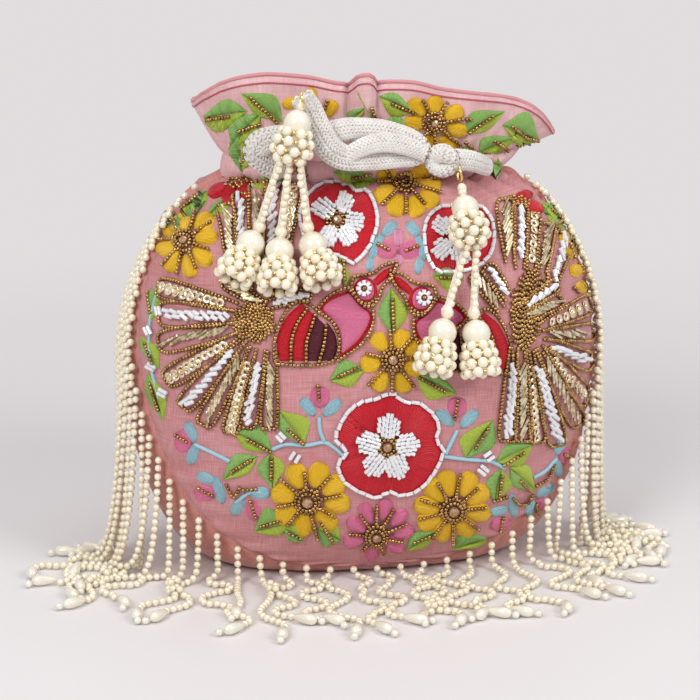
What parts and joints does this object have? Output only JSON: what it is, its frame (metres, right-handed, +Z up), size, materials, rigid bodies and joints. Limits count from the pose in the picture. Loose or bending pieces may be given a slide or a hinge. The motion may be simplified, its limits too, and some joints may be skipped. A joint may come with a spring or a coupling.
{
  "type": "potli bag",
  "caption": "Embroidered drawstring pouch with a gathered ruffle, a pearl bead fringe in its front seam and a swinging pearl tassel at each end of its cord.",
  "frame": {"origin": "middle of the flat underside, on the surface the bag stands on", "axes": "+Z up, embroidered front faces -Y, +X to the right seen from the front"},
  "size_m": [0.2676, 0.168, 0.2012],
  "materials": {
    "panel_silk": "matt slub silk",
    "gusset_silk": "matt slub silk",
    "lining_satin": "satin",
    "stiff_board": "matt board",
    "cotton_cord": "knitted cotton",
    "pearl": "pearlised gloss",
    "gold_wire": "polished",
    "gold_beads": "antique gold seed beads",
    "red_thread": "satin stitch",
    "yellow_thread": "satin stitch",
    "green_thread": "satin stitch",
    "pink_thread": "satin stitch",
    "lilac_thread": "satin stitch"
  },
  "bodies": {
    "bag": {"front_panel": "panel_silk", "back_panel": "panel_silk", "gusset_band": "gusset_silk", "base_card": "stiff_board", "lining": "lining_satin", "drawstring_channel": "panel_silk", "ruffle": "panel_silk", "ruffle_hem": "gusset_silk", "pearl_fringe": "pearl", "drawstring_long_end": "cotton_cord", "drawstring_short_end": "cotton_cord", "drawstring_knot": "cotton_cord", "poppy_centre": "red_thread", "poppy_left": "red_thread", "poppy_right": "red_thread", "flower_neck": "yellow_thread", "flower_middle": "yellow_thread", "flower_low_left": "yellow_thread", "flower_low_right": "yellow_thread", "flower_shoulder_left": "yellow_thread", "flower_edge_right": "yellow_thread", "flower_bottom": "pink_thread", "bud_pair": "lilac_thread", "tail_left": "gold_beads", "tail_right": "gold_beads", "wing_left": "red_thread", "wing_right": "red_thread", "neck_left": "pink_thread", "neck_right": "pink_thread", "leaf_between_heads": "green_thread", "leaf_middle_left": "green_thread", "leaf_middle_right": "green_thread", "leaf_column_top": "green_thread", "leaf_column_middle": "green_thread", "leaf_column_low": "green_thread", "leaf_trio_left": "green_thread", "leaf_trio_right": "green_thread"},
    "tassel_left": {"tassel_left_ring": "gold_wire", "tassel_left_cap_pearl": "pearl", "tassel_left_cluster": "pearl", "tassel_left_drop1_string": "pearl", "tassel_left_drop1_pearl": "pearl", "tassel_left_drop1_bell": "pearl", "tassel_left_drop2_string": "pearl", "tassel_left_drop2_pearl": "pearl", "tassel_left_drop2_bell": "pearl", "tassel_left_drop3_string": "pearl", "tassel_left_drop3_pearl": "pearl", "tassel_left_drop3_bell": "pearl"},
    "tassel_right": {"tassel_right_ring": "gold_wire", "tassel_right_link_pearl": "pearl", "tassel_right_cap_pearl": "pearl", "tassel_right_cluster": "pearl", "tassel_right_drop1_string": "pearl", "tassel_right_drop1_pearl": "pearl", "tassel_right_drop1_bell": "pearl", "tassel_right_drop2_string": "pearl", "tassel_right_drop2_pearl": "pearl", "tassel_right_drop2_bell": "pearl"}
  },
  "joints": [
    {"name": "tassel_left_swing", "type": "hinge", "parent": "bag", "child": "tassel_left", "pos_m": [-0.0305, -0.0495, 0.1938], "axis": [-1, 0, 0], "range_deg": [0, 60]},
    {"name": "tassel_right_swing", "type": "hinge", "parent": "bag", "child": "tassel_right", "pos_m": [0.031, -0.045, 0.1632], "axis": [-1, 0, 0], "range_deg": [0, 60]}
  ]
}
